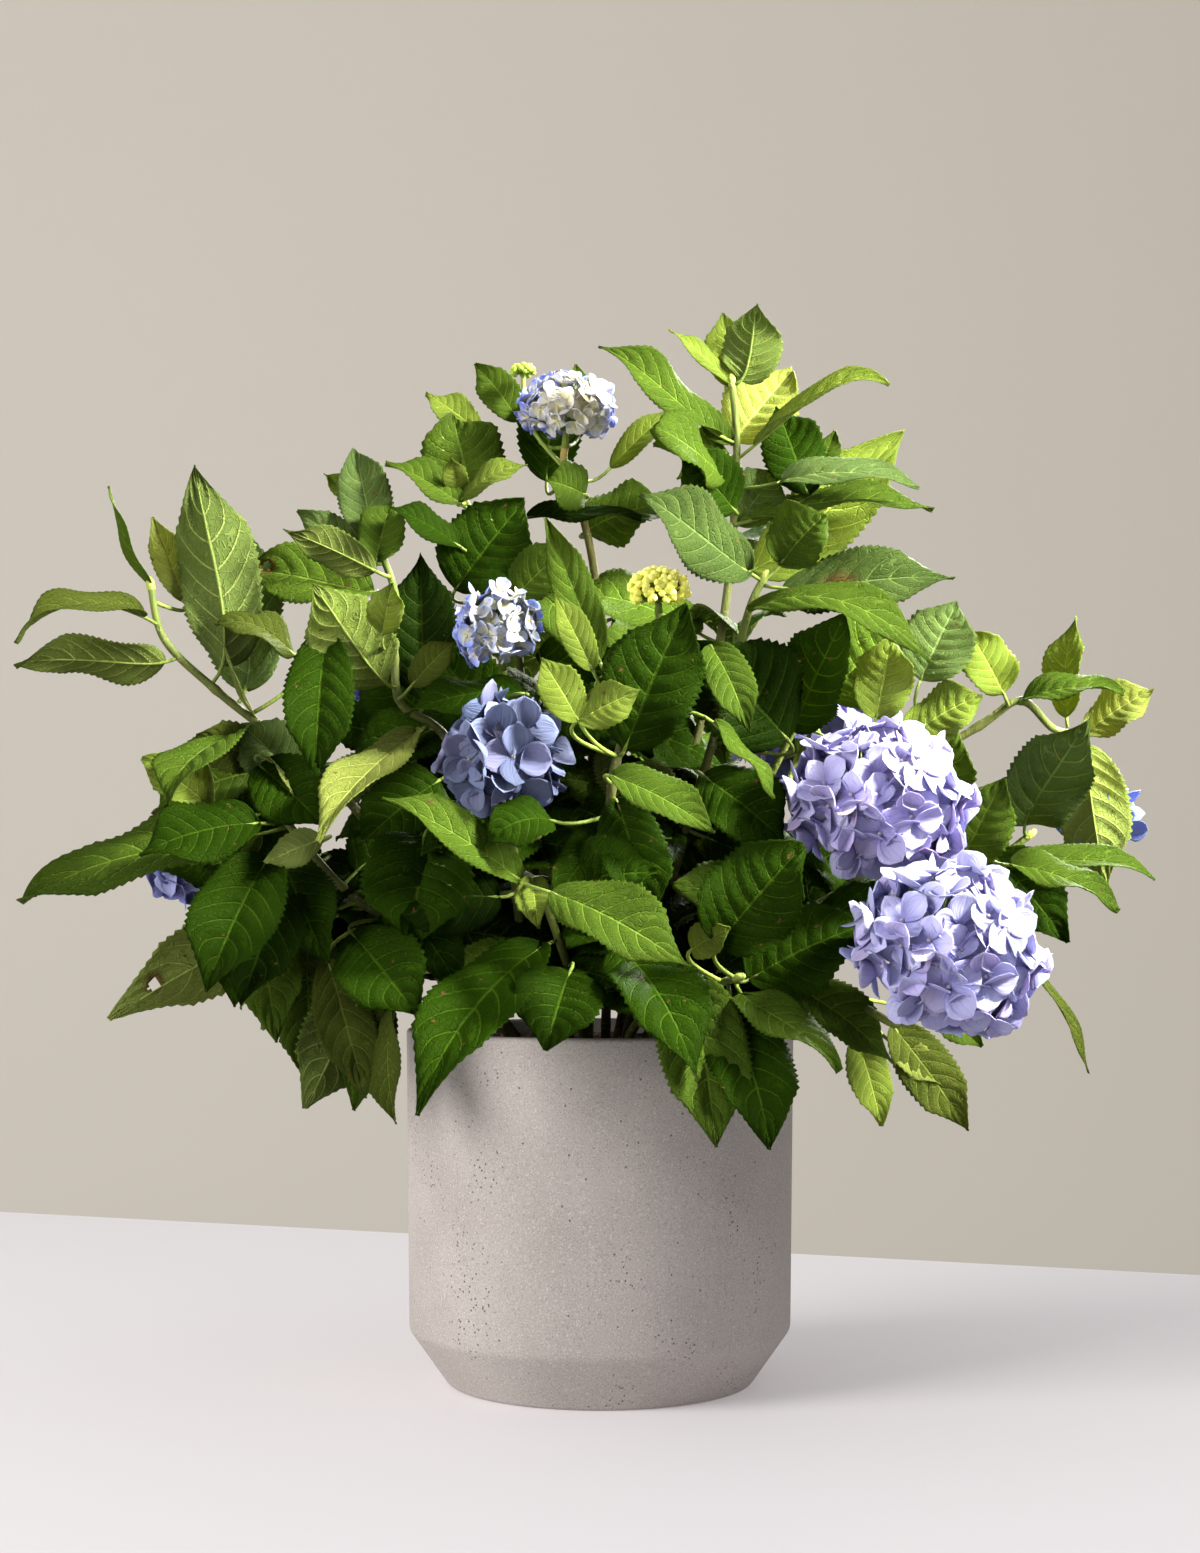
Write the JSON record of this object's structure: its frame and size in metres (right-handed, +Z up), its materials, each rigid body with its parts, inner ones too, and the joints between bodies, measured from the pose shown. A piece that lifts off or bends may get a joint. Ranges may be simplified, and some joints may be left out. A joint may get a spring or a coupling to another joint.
{
  "type": "potted hydrangea",
  "caption": "Leafy flowering shrub with domed blue, white and lime flower heads on branching canes, in a round grey cast-stone planter with a chamfered foot.",
  "frame": {"origin": "middle of the pot's underside, on the surface that it stands on", "axes": "+Z up, -Y towards the front of the plant, +X to the plant's right as seen from the front"},
  "size_m": [0.811, 0.5379, 0.7784],
  "materials": {
    "pot_stone": "matt, finely speckled",
    "soil": "loose dark potting mix with bark chips",
    "bark": "smooth green to brown bark",
    "leaf": "satin leaf",
    "blue_petal": "soft matt petal",
    "cream_petal": "soft matt petal",
    "lime_petal": "soft matt petal"
  },
  "bodies": {
    "root": {"cane_back_left": "bark", "cane_back_right": "bark", "cane_far_right": "bark", "cane_front": "bark", "cane_great_blue": "bark", "cane_green_head": "bark", "cane_left": "bark", "cane_low_front_left": "bark", "cane_low_left": "bark", "cane_low_right": "bark", "cane_lower_blue": "bark", "cane_mid_left": "bark", "cane_mid_right": "bark", "cane_middle_blue": "bark", "cane_right_high": "bark", "cane_right_low": "bark", "cane_top_left": "bark", "cane_top_right": "bark", "cane_upper_blue": "bark", "cane_upper_right": "bark", "cane_white_head": "bark", "head_back_left": "blue_petal", "head_back_right": "blue_petal", "head_far_left": "blue_petal", "head_far_right": "blue_petal", "head_great_blue": "blue_petal", "head_green": "lime_petal", "head_lower_blue": "blue_petal", "head_middle_blue": "blue_petal", "head_upper_blue": "blue_petal", "head_white": "cream_petal", "leaf_arc_top_left": "leaf", "leaf_arc_top_right": "leaf", "leaf_back_high": "leaf", "leaf_back_low": "leaf", "leaf_bright_top": "leaf", "leaf_drape_front_left": "leaf", "leaf_drape_front_right": "leaf", "leaf_drape_right": "leaf", "leaf_hood_left": "leaf", "leaf_large_upper": "leaf", "leaf_left_arc": "leaf", "leaf_left_behind": "leaf", "leaf_left_far": "leaf", "leaf_left_tall": "leaf", "leaf_low_left_out": "leaf", "leaf_low_left_pale": "leaf", "leaf_low_right_out": "leaf", "leaf_oval_centre": "leaf", "leaf_oval_mid_left": "leaf", "leaf_pale_mid_left": "leaf", "leaf_right_fold": "leaf", "leaf_right_out": "leaf", "leaf_right_oval": "leaf", "leaf_round_top_left": "leaf", "leaf_spotted_upper": "leaf", "leaf_upright_top": "leaf", "leaf_yellow_mid_left": "leaf", "pot": "pot_stone", "potting_soil": "soil"}
  },
  "joints": []
}
